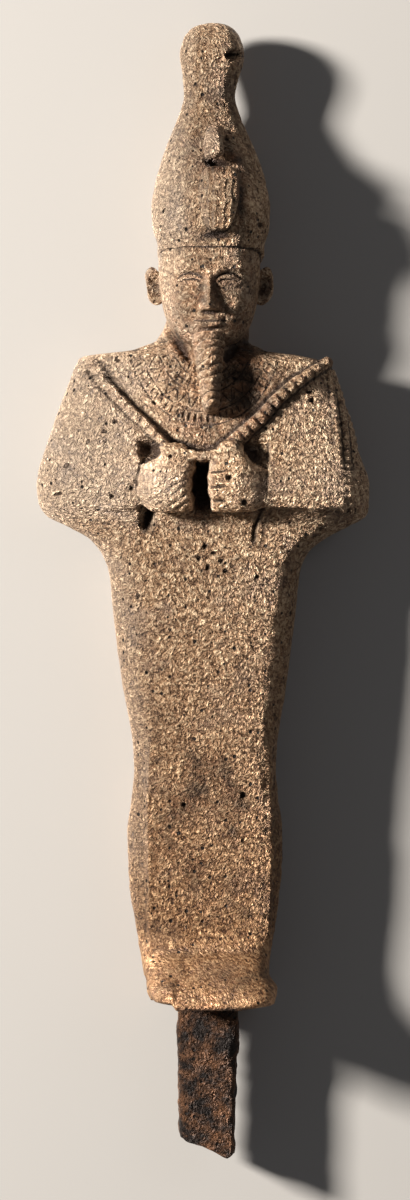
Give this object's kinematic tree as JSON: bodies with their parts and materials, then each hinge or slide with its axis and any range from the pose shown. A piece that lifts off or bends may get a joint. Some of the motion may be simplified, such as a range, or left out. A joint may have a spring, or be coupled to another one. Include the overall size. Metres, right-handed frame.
{
  "type": "osiris statuette",
  "caption": "Solid-cast bronze figure of a wrapped, crowned god with crook, flail and plaited beard, with a tang below the feet, lying on its back.",
  "frame": {"origin": "middle of the box's underside, on the surface that the figure's back lies on", "axes": "+X across the figure towards its own left arm, which holds the flail; +Y from the tang to the top of the crown; +Z out of the figure's front"},
  "size_m": [0.0582, 0.1996, 0.0282],
  "materials": {
    "corroded_bronze": "corroded, pitted, matt with worn glints"
  },
  "bodies": {
    "root": {"osiris_statuette": "corroded_bronze"}
  },
  "joints": []
}
